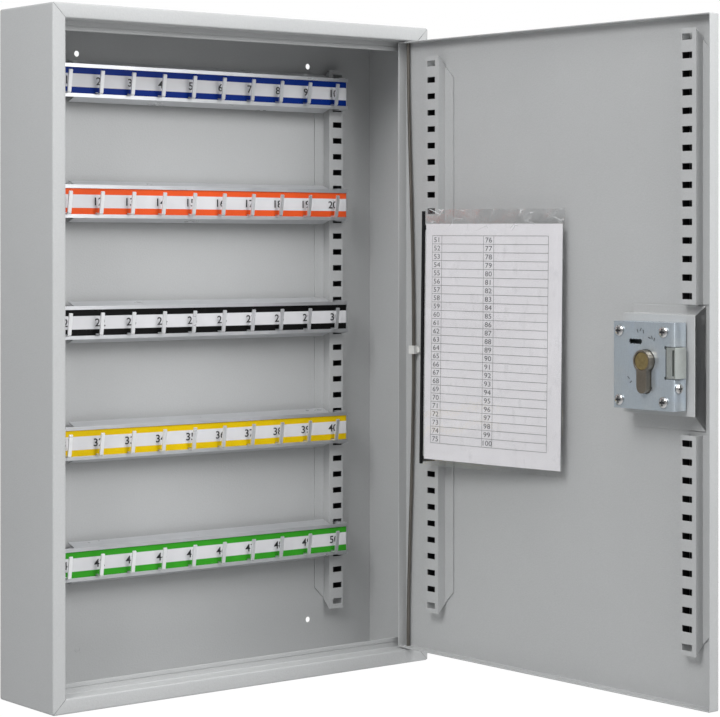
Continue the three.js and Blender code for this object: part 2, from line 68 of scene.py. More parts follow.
# ---------------------------------------------------------------- driving sizes
SHELL_LOW, SHELL_HIGH = size_of("cabinet_shell")
HALF_W = SHELL_HIGH.x
HALF_H = SHELL_HIGH.z
DEPTH = -SHELL_LOW.y
SHEET = 1.0
FLANGE = 12.0
REBATE = 16.0
LIP = 8.0
HINGE = Vector(JOINTS["door_hinge"]["pos_m"]) / MM
OPEN_ANGLE = math.radians(-JOINTS["door_hinge"]["range_deg"][0])
SET_BACK = HINGE.y + DEPTH
DOOR_EDGE = 6.0
DOOR_REACH = 345.8
DOOR_HALF_H = 262.0
DOOR_DEPTH = 10.0
HINGE_EDGE_DEPTH = 5.5
CYLINDER_U = 300.0
CYLINDER_INNER = 35.5

DOOR_TO_ROOM = Matrix.Translation(HINGE) @ Matrix.Rotation(OPEN_ANGLE, 4, "Z")


def door_point(u, w, z):
    return DOOR_TO_ROOM @ Vector((-u, w - SET_BACK, z))


# ---------------------------------------------------------------- mesh helpers
def new_piece(name, verts, faces, body, materials, replaces=(), smooth=40):
    """A mesh piece from millimetre points in the room frame, riding on a CAD body."""
    mesh = bpy.data.meshes.new(name)
    mesh.from_pydata([Vector(v) * MM for v in verts], [], faces)
    tidy = bmesh.new()
    tidy.from_mesh(mesh)
    bmesh.ops.remove_doubles(tidy, verts=tidy.verts, dist=1e-7)
    bmesh.ops.recalc_face_normals(tidy, faces=tidy.faces)
    tidy.to_mesh(mesh)
    tidy.free()
    obj = bpy.data.objects.new(name, mesh)
    bpy.context.scene.collection.objects.link(obj)
    for material in materials if isinstance(materials, (list, tuple)) else [materials]:
        mesh.materials.append(material)
    shade(obj, smooth)
    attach(obj, body)
    if replaces:
        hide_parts(*replaces)
    return obj


def shade(obj, angle=40):
    """Smooth shading, with edges sharper than the angle kept sharp."""
    mesh = obj.data
    mesh.polygons.foreach_set("use_smooth", [True] * len(mesh.polygons))
    mesh.set_sharp_from_angle(angle=math.radians(angle))


def polish(node, width, material, segments=2):
    """A CAD node with its flat faces made whole and its sharp edges rounded by modifiers."""
    obj = NODES[node]
    weld = obj.modifiers.new("weld", "WELD")
    weld.merge_threshold = 2e-6
    flat = obj.modifiers.new("flat", "DECIMATE")
    flat.decimate_type = "DISSOLVE"
    flat.angle_limit = math.radians(1)
    if width:
        bevel = obj.modifiers.new("bevel", "BEVEL")
        bevel.width = width * MM
        bevel.segments = segments
        bevel.limit_method = "ANGLE"
        bevel.angle_limit = math.radians(32)
        bevel.harden_normals = True
        bevel.use_clamp_overlap = True
    obj.data.materials.clear()
    obj.data.materials.append(material)
    return obj


def fillet(points, radii, steps=4):
    """A polygon's corners turned into arcs; a radius of 0 keeps the corner."""
    out = []
    count = len(points)
    for i, (point, radius) in enumerate(zip(points, radii)):
        here = Vector(point)
        back = Vector(points[i - 1]) - here
        ahead = Vector(points[(i + 1) % count]) - here
        if radius <= 0:
            out.append(here)
            continue
        angle = back.angle(ahead)
        reach = min(radius / math.tan(angle / 2), back.length * 0.49, ahead.length * 0.49)
        start = here + back.normalized() * reach
        end = here + ahead.normalized() * reach
        for k in range(steps + 1):
            t = k / steps
            out.append(start.lerp(here, t).lerp(here.lerp(end, t), t))
    return out


HOOK_ROOT_Y = -18.6  # hooks stand in front of this plane


# ---------------------------------------------------------------- material helpers
class Look:
    """A node material: inputs are set by name, and textures read the rest position in metres."""

    def __init__(self, name, colour, roughness=0.5, metallic=0.0, **inputs):
        self.material = bpy.data.materials.new(name)
        self.material.use_nodes = True
        self.tree = self.material.node_tree
        self.shader = self.tree.nodes["Principled BSDF"]
        self.coords = self.tree.nodes.new("ShaderNodeTexCoord").outputs["Object"]
        self.colour = self.rgb(colour)
        self.base = colour
        self.roughness = roughness
        self.heights = []
        self.shader.inputs["Metallic"].default_value = metallic
        for key, value in inputs.items():
            self.shader.inputs[key.replace("_", " ")].default_value = value

    def node(self, kind, values=None, **settings):
        made = self.tree.nodes.new(kind)
        for key, value in settings.items():
            setattr(made, key, value)
        for key, value in (values or {}).items():
            if isinstance(value, bpy.types.NodeSocket):
                self.tree.links.new(value, made.inputs[key])
            else:
                made.inputs[key].default_value = value
        return made

    def rgb(self, colour):
        made = self.node("ShaderNodeRGB")
        made.outputs[0].default_value = (*colour, 1)
        return made.outputs[0]

    def math(self, operation, a, b=0.0, c=0.0):
        return self.node("ShaderNodeMath", {0: a, 1: b, 2: c}, operation=operation).outputs[0]

    def axis(self, name):
        return self.node("ShaderNodeSeparateXYZ", {0: self.coords}).outputs[name]

    def stretched(self, scale, stretch=(1, 1, 1), turn=0.0):
        values = {"Vector": self.coords, "Scale": [scale * s for s in stretch], "Rotation": (0, 0, turn)}
        return self.node("ShaderNodeMapping", values).outputs[0]

    def noise(self, size, stretch=(1, 1, 1), detail=3.0, rough=0.55, turn=0.0):
        """Noise whose lumps are about size millimetres, longer along axes with a small stretch."""
        vector = self.stretched(1 / (size * MM), stretch, turn)
        values = {"Vector": vector, "Scale": 1.0, "Detail": detail, "Roughness": rough}
        return self.node("ShaderNodeTexNoise", values).outputs["Fac"]

    def cells(self, size, feature="F1", output="Color", stretch=(1, 1, 1)):
        vector = self.stretched(1 / (size * MM), stretch)
        values = {"Vector": vector, "Scale": 1.0}
        return self.node("ShaderNodeTexVoronoi", values, feature=feature).outputs[output]

    def ramp(self, value, low, high, to_low=0.0, to_high=1.0):
        values = {"Value": value, "From Min": low, "From Max": high, "To Min": to_low, "To Max": to_high}
        return self.node("ShaderNodeMapRange", values, clamp=True).outputs[0]

    def blend(self, share, colour, how="MIX"):
        """Lays another colour over the one so far."""
        source = colour if isinstance(colour, bpy.types.NodeSocket) else self.rgb(colour)
        made = self.node("ShaderNodeMix", {0: share, 6: self.colour, 7: source}, data_type="RGBA", blend_type=how)
        self.colour = made.outputs[2]

    def shade_by(self, value, low, high):
        """Multiplies the colour by a value between low and high."""
        grey = self.ramp(value, 0.3, 0.7, low, high)
        tint = self.node("ShaderNodeCombineColor", {0: grey, 1: grey, 2: grey}).outputs[0]
        self.blend(1.0, tint, "MULTIPLY")

    def lift(self, height, distance):
        """Adds a bump whose full height is distance millimetres."""
        self.heights.append((height, distance))

    def done(self):
        self.tree.links.new(self.colour, self.shader.inputs["Base Color"])
        if isinstance(self.roughness, bpy.types.NodeSocket):
            self.tree.links.new(self.roughness, self.shader.inputs["Roughness"])
        else:
            self.shader.inputs["Roughness"].default_value = self.roughness
        normal = None
        for height, distance in self.heights:
            values = {"Height": height, "Distance": distance * MM, "Strength": 1.0}
            if normal:
                values["Normal"] = normal
            normal = self.node("ShaderNodeBump", values).outputs[0]
        if normal:
            self.tree.links.new(normal, self.shader.inputs["Normal"])
        return self.material


# ---------------------------------------------------------------- materials
# Spaces inside the closed perforated strips that get painted shade, a near-black colour so the holes read dark:
# low and high corners, in the room frame (x, y, z) or in door coordinates (u, w, z).
PAINTED_SHADE_IN_ROOM = [((-149.95, -9.05, -221), (-136.85, -0.95, 227)), ((136.85, -9.05, -221), (149.95, -0.95, 227))]
PAINTED_SHADE_IN_DOOR = [((31.65, 0.95, -213), (44.75, 9.35, 233)), ((318.35, 0.95, -213), (331.45, 9.35, -58)),
                ((318.35, 0.95, 45), (331.45, 9.35, 238))]


def inside_box(look, place, low, high):
    """1 inside a box of millimetres, 0 outside it."""
    share = None
    for axis, a, b in zip("XYZ", low, high):
        value = look.node("ShaderNodeSeparateXYZ", {0: place}).outputs[axis]
        half = look.math("COMPARE", value, (a + b) / 2 * MM, abs(b - a) / 2 * MM)
        share = half if share is None else look.math("MULTIPLY", share, half)
    return share


def powder_coat(name="powder_coat", colour=(0.475, 0.482, 0.484)):
    """Light grey fine-textured powder coat: small orange-peel lumps, faint clouding and rubbed patches.
    Inside the closed strips it is painted near-black, as painted shade, so the holes read dark."""
    look = Look(name, colour)
    look.shade_by(look.noise(140), 0.975, 1.02)
    look.shade_by(look.noise(1.1, detail=2), 0.965, 1.03)
    in_door = look.node("ShaderNodeMapping", {"Vector": look.coords, "Location": HINGE * MM,
                                              "Rotation": (0, 0, OPEN_ANGLE)}, vector_type="TEXTURE").outputs[0]
    shares = [inside_box(look, look.coords, low, high) for low, high in PAINTED_SHADE_IN_ROOM]
    for (u0, w0, z0), (u1, w1, z1) in PAINTED_SHADE_IN_DOOR:
        shares.append(inside_box(look, in_door, (-u1, w0 - SET_BACK, z0), (-u0, w1 - SET_BACK, z1)))
    painted_shade = shares[0]
    for share in shares[1:]:
        painted_shade = look.math("MAXIMUM", painted_shade, share)
    # Painted shade: near-black inside the closed strips.
    look.blend(painted_shade, (0.012, 0.012, 0.013))
    look.roughness = look.ramp(look.noise(30, detail=4), 0.3, 0.7, 0.46, 0.58)
    look.lift(look.noise(1.3, detail=2), 0.13)
    look.lift(look.noise(0.45, detail=1), 0.03)
    return look.done()


def seamed_coat():
    """The box's powder coat, with fine dark seams across the corners of the front flange."""
    look = Look("seamed_coat", (0.475, 0.482, 0.484))
    look.shade_by(look.noise(140), 0.975, 1.02)
    look.shade_by(look.noise(1.1, detail=2), 0.965, 1.03)
    inset_x = look.math("SUBTRACT", HALF_W * MM, look.math("ABSOLUTE", look.axis("X")))
    inset_z = look.math("SUBTRACT", HALF_H * MM, look.math("ABSOLUTE", look.axis("Z")))
    seam = look.math("COMPARE", inset_x, inset_z, 0.3 * MM)
    front = look.math("LESS_THAN", look.axis("Y"), (0.6 - DEPTH) * MM)
    wander = look.ramp(look.noise(9, detail=2), 0.35, 0.6, 0.35, 1.0)
    look.blend(look.math("MULTIPLY", look.math("MULTIPLY", seam, front), wander), (0.03, 0.03, 0.03))
    look.roughness = look.ramp(look.noise(30, detail=4), 0.3, 0.7, 0.46, 0.58)
    look.lift(look.noise(1.3, detail=2), 0.13)
    look.lift(look.noise(0.45, detail=1), 0.03)
    return look.done()


def bright_zinc(name="bright_zinc"):
    """Galvanised strip: rolling streaks along its length and dull patches. The hooks are whiter and less metallic,
    with a painted reflection that makes them whiter still towards the left.
    """
    look = Look(name, (0.72, 0.73, 0.75), metallic=0.8)
    look.shade_by(look.noise(0.6, (0.02, 1, 1), detail=4), 0.93, 1.04)
    look.shade_by(look.noise(24), 0.95, 1.03)
    hooks = look.math("LESS_THAN", look.axis("Y"), HOOK_ROOT_Y * MM)
    # Painted reflection: the hooks are made whiter and less metallic, most of all towards the left.
    hook_tone_and_painted_sheen = look.math("MULTIPLY", hooks, look.ramp(look.axis("X"), -0.13, 0.06, 1.0, 0.1))
    look.blend(hook_tone_and_painted_sheen, (0.96, 0.96, 0.97))
    look.tree.links.new(look.ramp(hook_tone_and_painted_sheen, 0, 1, 0.8, 0.25), look.shader.inputs["Metallic"])
    look.roughness = look.ramp(look.noise(9, (0.3, 1, 1), detail=5), 0.3, 0.75, 0.27, 0.39)
    return look.done()


def lock_zinc(name="lock_zinc"):
    """Blue passivated zinc: cool sheen that drifts to straw, fine scratches, handling marks and wear."""
    look = Look(name, (0.60, 0.67, 0.73), metallic=0.7)
    look.blend(look.ramp(look.noise(22, detail=2), 0.56, 0.76, 0.0, 0.3), (0.72, 0.72, 0.68))
    look.blend(look.ramp(look.noise(15, detail=2, turn=1.0), 0.58, 0.76, 0.0, 0.35), (0.58, 0.68, 0.82))
    scratches = look.noise(0.35, (1, 1, 0.05), detail=2)
    look.shade_by(scratches, 0.95, 1.04)
    look.shade_by(look.noise(1.2, detail=5), 0.94, 1.04)
    look.roughness = look.ramp(look.noise(7, detail=5), 0.3, 0.7, 0.17, 0.27)
    look.lift(look.noise(9, detail=2), 0.012)
    look.lift(scratches, 0.003)
    return look.done()


def drawn_steel(name="drawn_steel"):
    """Dull drawn wire: brownish, with lengthwise die lines."""
    look = Look(name, (0.20, 0.185, 0.165), metallic=0.9)
    look.shade_by(look.noise(0.4, (1, 1, 0.01), detail=3), 0.8, 1.15)
    look.shade_by(look.noise(14, (1, 1, 0.3)), 0.85, 1.15)
    look.roughness = look.ramp(look.noise(6), 0.3, 0.7, 0.3, 0.42)
    return look.done()


def polished_steel(name="polished_steel"):
    """Nickel-bright screw heads, with fine turning marks and a random darker mottle."""
    look = Look(name, (0.74, 0.73, 0.72), metallic=1.0)
    look.shade_by(look.noise(0.6, detail=4), 0.8, 1.08)
    look.roughness = look.ramp(look.noise(1.5, detail=4), 0.3, 0.7, 0.1, 0.24)
    look.lift(look.noise(0.5, detail=2), 0.01)
    return look.done()


def cast_zinc(name="cast_zinc"):
    """The bolt: dull greenish-grey plated casting with a fine grain."""
    look = Look(name, (0.50, 0.53, 0.51), metallic=0.85)
    look.shade_by(look.noise(0.5, detail=3), 0.92, 1.05)
    look.shade_by(look.noise(5), 0.94, 1.04)
    look.roughness = look.ramp(look.noise(3, detail=4), 0.3, 0.7, 0.42, 0.55)
    look.lift(look.noise(0.4, detail=2), 0.02)
    return look.done()


def satin_nickel(name="satin_nickel"):
    """The cylinder's body: brownish satin nickel, machined lengthwise."""
    look = Look(name, (0.30, 0.265, 0.22), metallic=1.0)
    lines = look.noise(0.3, (0.04, 1, 1), detail=3)
    look.shade_by(lines, 0.86, 1.08)
    look.shade_by(look.noise(6), 0.9, 1.06)
    look.roughness = look.ramp(look.noise(4, detail=4), 0.3, 0.7, 0.34, 0.48)
    look.lift(lines, 0.01)
    return look.done()


def turned_brass(name="turned_brass"):
    """The plug's face: brass with fine turning rings about the cylinder axis and a little tarnish."""
    look = Look(name, (0.44, 0.34, 0.16), metallic=1.0)
    centre = door_point(CYLINDER_U, CYLINDER_INNER, 0) * MM
    offset = look.node("ShaderNodeVectorMath", {0: look.coords, 1: centre}, operation="SUBTRACT").outputs[0]
    flat = look.node("ShaderNodeVectorMath", {0: offset, 1: (0, 1, 1)}, operation="MULTIPLY").outputs[0]
    radius = look.node("ShaderNodeVectorMath", {0: flat}, operation="LENGTH").outputs["Value"]
    rings = look.math("SINE", look.math("MULTIPLY", radius, 2 * math.pi / (0.5 * MM)))
    look.shade_by(look.ramp(rings, -1, 1), 0.9, 1.05)
    look.shade_by(look.noise(3, detail=4), 0.8, 1.1)
    look.roughness = look.ramp(look.noise(2, detail=4), 0.3, 0.7, 0.3, 0.5)
    look.lift(rings, 0.01)
    return look.done()


def moulded(name, colour, roughness=0.4, grain=0.9, specular=0.5):
    """Moulded plastic: a faint spark-eroded grain and uneven gloss."""
    look = Look(name, colour, Specular_IOR_Level=specular)
    look.shade_by(look.noise(8), 0.93, 1.06)
    look.roughness = look.ramp(look.noise(5, detail=4), 0.3, 0.7, roughness - 0.06, roughness + 0.1)
    look.lift(look.noise(grain, detail=2), 0.02)
    return look.done()


def label_stock(name, colour, centre_z, white_half=5.4):
    """A printed label: a band of colour above and below a white middle, with a soft sheen."""
    look = Look(name, colour, **{"Specular_IOR_Level": 0.12})
    look.shade_by(look.noise(0.5, detail=2), 0.95, 1.04)
    leaning = look.math("MULTIPLY", look.axis("X"), math.tan(RAIL_LEAN))
    height = look.math("ADD", look.axis("Z"), leaning)
    away = look.math("ABSOLUTE", look.math("SUBTRACT", height, centre_z * MM))
    white = look.ramp(away, (white_half - 0.08) * MM, (white_half + 0.08) * MM, 1.0, 0.0)
    look.blend(white, (0.71, 0.71, 0.73))
    look.shade_by(look.noise(25), 0.95, 1.03)
    look.roughness = look.ramp(look.noise(12, (0.2, 1, 1)), 0.3, 0.7, 0.34, 0.46)
    look.lift(look.noise(30, (0.4, 1, 1), detail=1), 0.06)
    return look.done()


# A dark matte colour: print, and painted shade in the screw recesses and punch marks.
def dark_print_and_shade(name="dark_print_and_shade", colour=(0.02, 0.02, 0.022)):
    look = Look(name, colour)
    look.shade_by(look.noise(0.4), 0.7, 1.5)
    look.roughness = look.ramp(look.noise(0.8), 0.3, 0.7, 0.45, 0.65)
    return look.done()


def paper_stock(name="paper_stock"):
    """Plain office paper: short fibres and faint waviness."""
    look = Look(name, (0.84, 0.825, 0.85))
    look.shade_by(look.noise(0.5, (0.4, 1, 1), detail=4), 0.97, 1.02)
    look.shade_by(look.noise(45), 0.97, 1.02)
    look.roughness = look.ramp(look.noise(1.0), 0.3, 0.7, 0.72, 0.86)
    look.lift(look.noise(0.35, detail=3), 0.012)
    look.lift(look.noise(22, detail=1), 0.15)
    return look.done()


def clear_film(name="clear_film"):
    """Soft clear film: see-through, glossy, with long wrinkles and a faint bloom here and there.
    Near the open top, whitening along the creases is a painted highlight.
    """
    look = Look(name, (0.9, 0.91, 0.92), IOR=1.4)
    wrinkles = look.noise(16, (1, 1, 0.35), detail=3)
    look.lift(wrinkles, 0.35)
    look.roughness = look.ramp(look.noise(18, detail=3), 0.3, 0.7, 0.05, 0.14)
    material = look.done()
    clear = look.node("ShaderNodeBsdfTransparent", {"Color": (0.985, 0.985, 0.985, 1)}).outputs[0]
    gloss = look.node("ShaderNodeBsdfGlossy", {"Color": (1, 1, 1, 1), "Roughness": 0.08}).outputs[0]
    look.tree.links.new(look.shader.inputs["Normal"].links[0].from_socket, gloss.node.inputs["Normal"])
    facing = look.node("ShaderNodeLayerWeight", {"Blend": 0.25}).outputs["Facing"]
    shine = look.math("ADD", 0.035, look.math("MULTIPLY", look.math("POWER", facing, 3.0), 0.5))
    film_whitening = look.ramp(look.noise(9, (1, 1, 0.5), detail=5), 0.55, 0.8, 0.0, 0.06)
    # Painted highlight: creases near the open top are mixed towards white.
    creases = look.ramp(look.cells(17, "DISTANCE_TO_EDGE", "Distance", (1, 1, 1.6)), 0.0, 0.02, 0.6, 0.0)
    near_mouth = look.ramp(look.axis("Z"), 0.098, 0.108)
    patchy = look.ramp(look.noise(14, detail=1), 0.5, 0.56)
    painted_crease_highlight = look.math("MULTIPLY", look.math("MULTIPLY", creases, near_mouth), patchy)
    film_whitening = look.math("MAXIMUM", film_whitening, painted_crease_highlight)
    veiled = look.node("ShaderNodeMixShader", {0: film_whitening, 1: clear, 2: look.shader.outputs[0]}).outputs[0]
    mixed = look.node("ShaderNodeMixShader", {0: shine, 1: veiled, 2: gloss}).outputs[0]
    output = look.tree.nodes["Material Output"]
    look.tree.links.new(mixed, output.inputs["Surface"])
    return material


# ---------------------------------------------------------------- sheet metal pieces
CORNER_STEPS = 4  # each corner of a ring has this many steps, and CORNER_STEPS + 1 points
MITRE_OFFSETS = (-0.5, -0.14, 0.0, 0.14, 0.5)  # along a mitred corner, millimetres from the mitre line
MITRE_DEPTH = 0.22


def corner_points(half_x, half_z, radius):
    """Points round a rectangle, CORNER_STEPS + 1 at each corner: an arc, or a close group at a mitre."""
    out = []
    for quarter in range(4):
        sx, sz = ((1, 1), (-1, 1), (-1, -1), (1, -1))[quarter]
        for k in range(CORNER_STEPS + 1):
            if radius > 0.2:
                angle = math.radians(90 * quarter + 90 * k / CORNER_STEPS)
                x = sx * (half_x - radius) + radius * math.cos(angle)
                z = sz * (half_z - radius) + radius * math.sin(angle)
            else:
                offset = MITRE_OFFSETS[k]
                first = (sx * half_x, sz * (half_z - abs(offset)))
                second = (sx * (half_x - abs(offset)), sz * half_z)
                before, after = (first, second) if quarter % 2 == 0 else (second, first)
                x, z = before if offset < 0 else after
            out.append((x, z))
    return out


def swept_frame(profile, half_x, half_z, radius, closed=True):
    """Sweeps a profile of (inset, y) points round a rectangle; a mitre groove is pressed in where a
    profile point carries True as its third value. Returns vertices and faces."""
    verts, faces = [], []
    ring_size = 4 * (CORNER_STEPS + 1)
    for inset, y, grooved in profile:
        ring = corner_points(half_x - inset, half_z - inset, radius - inset)
        for index, (x, z) in enumerate(ring):
            middle = index % (CORNER_STEPS + 1) == CORNER_STEPS // 2
            verts.append((x, y + (MITRE_DEPTH if grooved and middle else 0), z))
    rings = len(profile)
    for i in range(rings if closed else rings - 1):
        for j in range(ring_size):
            a, b = i * ring_size + j, i * ring_size + (j + 1) % ring_size
            c, d = ((i + 1) % rings) * ring_size + (j + 1) % ring_size, ((i + 1) % rings) * ring_size + j
            faces.append((a, b, c, d))
    return verts, faces


def cabinet_shell(paint):
    """The folded box: wall, front flange, rebate and inner lip in one sheet with rounded bends."""
    bend, tight = 1.5, 0.5
    lip_y = REBATE - DEPTH
    outline = [
        ((0, 0), 0.2), ((0, -DEPTH), bend), ((FLANGE, -DEPTH), bend), ((FLANGE, lip_y), tight),
        ((FLANGE + LIP - 4.1, lip_y), 0), ((FLANGE + LIP - 4.0, lip_y + 0.3), 0),
        ((FLANGE + LIP - 3.4, lip_y + 0.3), 0), ((FLANGE + LIP - 3.3, lip_y - 0.1), 0.1),
        ((FLANGE + LIP, lip_y - 0.1), 0.3), ((FLANGE + LIP, lip_y + SHEET), 0.3),
        ((FLANGE - SHEET, lip_y + SHEET), bend), ((FLANGE - SHEET, SHEET - DEPTH), tight),
        ((SHEET, SHEET - DEPTH), tight), ((SHEET, 0), 0.2),
    ]
    points = fillet([p for p, _ in outline], [r for _, r in outline])
    profile = []
    for point in points:
        on_flange = point.y < 0.02 - DEPTH and point.x > bend
        on_lip = abs(point.y - lip_y) < 0.02 and point.x > FLANGE
        profile.append((point.x, point.y, on_flange or on_lip))
    verts, faces = swept_frame(profile, HALF_W, HALF_H, 2.0)
    return new_piece("cabinet_box", verts, faces, "cabinet", paint, ["cabinet_shell"])


def hole_cap(paint):
    """A painted cap in the wall hole that is not used, low on the left."""
    sides, radius = 32, 2.45
    x, z = -119.0, -243.0
    rings = ((radius, -0.4), (radius, -0.75), (radius - 0.5, -0.95), (0.6, -1.05))
    verts = [(x + r * math.cos(2 * math.pi * k / sides), y, z + r * math.sin(2 * math.pi * k / sides))
             for r, y in rings for k in range(sides)]
    faces = [(i * sides + k, i * sides + (k + 1) % sides, (i + 1) * sides + (k + 1) % sides, (i + 1) * sides + k)
             for i in range(len(rings) - 1) for k in range(sides)]
    faces += [tuple(range(sides)), tuple(range((len(rings) - 1) * sides, len(rings) * sides))]
    new_piece("hole_cap", verts, faces, "cabinet", paint)


def door_panel(paint):
    """The door: one sheet with a flange turned in all round."""
    outline = [
        ((9, 0), 0), ((0, 0), 0.8), ((0, DOOR_DEPTH), 0.3), ((SHEET, DOOR_DEPTH), 0.3), ((SHEET, SHEET), 0.5),
        ((9, SHEET), 0),
    ]
    points = fillet([p for p, _ in outline], [r for _, r in outline])
    centre_u = (DOOR_REACH - DOOR_EDGE) / 2
    half_u = (DOOR_REACH + DOOR_EDGE) / 2
    profile = [(p.x, p.y, False) for p in points]
    verts, faces = swept_frame(profile, half_u, DOOR_HALF_H, 1.2, closed=False)
    ring_size = 4 * (CORNER_STEPS + 1)
    faces.append(tuple(range(ring_size)))
    faces.append(tuple(range(len(verts) - ring_size, len(verts))))
    placed = []
    for x, w, z in verts:
        beside_hinge = x > half_u - 1.5 and abs(z) < DOOR_HALF_H - 1.5
        placed.append(door_point(centre_u - x, min(w, HINGE_EDGE_DEPTH) if beside_hinge else w, z))
    return new_piece("door_panel", placed, faces, "door", paint, ["door_pan"])


ROD_RADIUS, ROD_BOW, ROD_END, BOW_END = 1.45, 7.0, 268.0, 256.0


def hinge_rod(steel):
    """A round rod, straight where it turns in the frame and bowed towards the free edge between."""
    steps, sides = 80, 20
    verts, faces = [], []
    for i in range(steps + 1):
        z = ROD_END * (2 * i / steps - 1)
        bow = ROD_BOW * max(0.0, 1 - (z / BOW_END) ** 2) ** 2
        for k in range(sides):
            angle = 2 * math.pi * k / sides
            verts.append(door_point(bow + ROD_RADIUS * math.cos(angle), SET_BACK + ROD_RADIUS * math.sin(angle), z))
    for i in range(steps):
        for k in range(sides):
            a, b = i * sides + k, i * sides + (k + 1) % sides
            faces.append((a, b, b + sides, a + sides))
    faces.append(tuple(reversed(range(sides))))
    faces.append(tuple(range(steps * sides, (steps + 1) * sides)))
    return new_piece("hinge_wire", verts, faces, "door", steel, ["hinge_rod"])


# ---------------------------------------------------------------- screws
def screw_head(name, u, w, z, radius, height, along, steel, recess, replaces):
    """A domed cross-head with its recess pressed in. It points along w, or along u to the free edge."""
    rings, sides = 16, 64
    verts, faces, sunk = [], [], []

    def put(a, b, out):
        verts.append(door_point(u + a, w + out, z + b) if along == "w" else door_point(u + out, w - a, z + b))

    def depth_at(a, b):
        across, length = sorted((abs(a), abs(b)))
        arm = max(across - 0.16 * radius, length - 0.62 * radius)
        return min(1.0, max(0.0, -arm / 0.2))

    def surface(a, b):
        share = min(1.0, math.hypot(a, b) / radius)
        dome = height * (0.35 + 0.65 * math.sqrt(max(0.0, 1 - share ** 2.2)))
        return dome - depth_at(a, b) * height * 0.62 * (1.15 - share)

    put(0, 0, surface(0, 0))
    for i in range(1, rings + 1):
        for k in range(sides):
            angle = 2 * math.pi * k / sides
            a, b = radius * i / rings * math.cos(angle), radius * i / rings * math.sin(angle)
            put(a, b, surface(a, b))
    base = len(verts)
    for k in range(sides):
        angle = 2 * math.pi * k / sides
        put(radius * math.cos(angle), radius * math.sin(angle), 0)
    for k in range(sides):
        angle = 2 * math.pi * (k + 0.5) / sides
        after = (k + 1) % sides
        faces.append((0, 1 + k, 1 + after))
        sunk.append(True)
        for i in range(rings - 1):
            middle = radius * (i + 1.5) / rings
            faces.append((1 + i * sides + k, 1 + (i + 1) * sides + k, 1 + (i + 1) * sides + after, 1 + i * sides + after))
            sunk.append(depth_at(middle * math.cos(angle), middle * math.sin(angle)) > 0.3)
        faces.append((base - sides + k, base + k, base + after, base - sides + after))
        sunk.append(False)
    faces.append(tuple(range(base, base + sides)))
    sunk.append(False)
    head = new_piece(name, verts, faces, "door", [steel, recess], [replaces], smooth=35)
    # The recess faces take the second material, a near-black painted shade.
    for polygon, inside in zip(head.data.polygons, sunk):
        polygon.material_index = 1 if inside else 0


# Punched tally marks on the lock's cover, flat dark bars as painted shade: place (u, z) and turn in degrees.
PUNCH_MARKS = ((291.5, 22.5, 20), (294.6, 23.6, -30), (297.4, 22.2, 10), (303.4, 17.6, 70), (306.0, 18.0, 15),
               (308.4, 16.6, -20), (282.3, -13.4, 50), (284.6, -16.6, -55), (306.0, -21.0, 5))


def punch_marks(dark):
    shapes = []
    for u, z, turn in PUNCH_MARKS:
        points, faces = flat_bar(-0.4, 0.4, -1.4, 1.4)
        c, s = math.cos(math.radians(turn)), math.sin(math.radians(turn))
        shapes.append(([(x * c - y * s, x * s + y * c) for x, y in points], faces, u, z))
    verts, faces = merge_flat(shapes)
    new_piece("plate_marks", [door_point(u, 30.04, z) for u, z in verts], faces, "door", dark)


# ---------------------------------------------------------------- printed numerals and lines
def numeral_mesh(text, height, squeeze=0.86, weight=0.0):
    """Vertices and faces of a flat numeral, its lower left corner at the origin, in millimetres."""
    curve = bpy.data.curves.new("numeral", "FONT")
    curve.body = text
    curve.align_x = "CENTER"
    curve.size = 1.0
    curve.resolution_u = 3
    curve.offset = weight
    obj = bpy.data.objects.new("numeral", curve)
    bpy.context.scene.collection.objects.link(obj)
    bpy.context.view_layer.update()
    mesh = obj.to_mesh()
    verts = [v.co.copy() for v in mesh.vertices]
    faces = [tuple(p.vertices) for p in mesh.polygons]
    obj.to_mesh_clear()
    bpy.data.objects.remove(obj)
    bpy.data.curves.remove(curve)
    low = min(v.y for v in verts)
    high = max(v.y for v in verts)
    scale = height / (high - low)
    return [(v.x * scale * squeeze, (v.y - low) * scale) for v in verts], faces


def flat_bar(x0, x1, z0, z1):
    return [(x0, z0), (x1, z0), (x1, z1), (x0, z1)], [(0, 1, 2, 3)]


def merge_flat(shapes):
    """Joins flat (points, faces, dx, dz) shapes into one list of points and faces."""
    verts, faces = [], []
    for points, polygons, dx, dz in shapes:
        base = len(verts)
        verts += [(x + dx, z + dz) for x, z in points]
        faces += [tuple(base + i for i in polygon) for polygon in polygons]
    return verts, faces


HOOKS = 10
HOOK_PITCH = 30.35
HOOK_SHIFT = -3.3
RAIL_LEAN = math.radians(0.25)
NUMERAL_SHIFT = {1: 0.8, 2: 0.2, 3: 2.3, 4: 0.5, 5: 1.6}  # each row's numerals against its hooks
LABEL_COLOURS = {
    1: (0.0, 0.022, 0.21),
    2: (0.80, 0.100, 0.022),
    3: (0.004, 0.004, 0.004),
    4: (0.76, 0.52, 0.002),
    5: (0.038, 0.34, 0.020),
}


def hook_x(index):
    return (index - (HOOKS - 1) / 2) * HOOK_PITCH + HOOK_SHIFT


def rail_numbers(row, black):
    """The ten numerals of one label, printed a hair in front of it."""
    low, high = size_of(f"label_{row}")
    centre = (low.z + high.z) / 2
    height = 6.5
    shapes = []
    for i in range(HOOKS):
        points, faces = numeral_mesh(str((row - 1) * HOOKS + i + 1), height, 1.14, 0.014)
        shapes.append((points, faces, hook_x(i) + NUMERAL_SHIFT[row], centre - height / 2))
    verts, faces = merge_flat(shapes)
    placed = [(x, low.y - 0.03, z - x * math.tan(RAIL_LEAN)) for x, z in verts]
    new_piece(f"label_numbers_{row}", placed, faces, "cabinet", black)


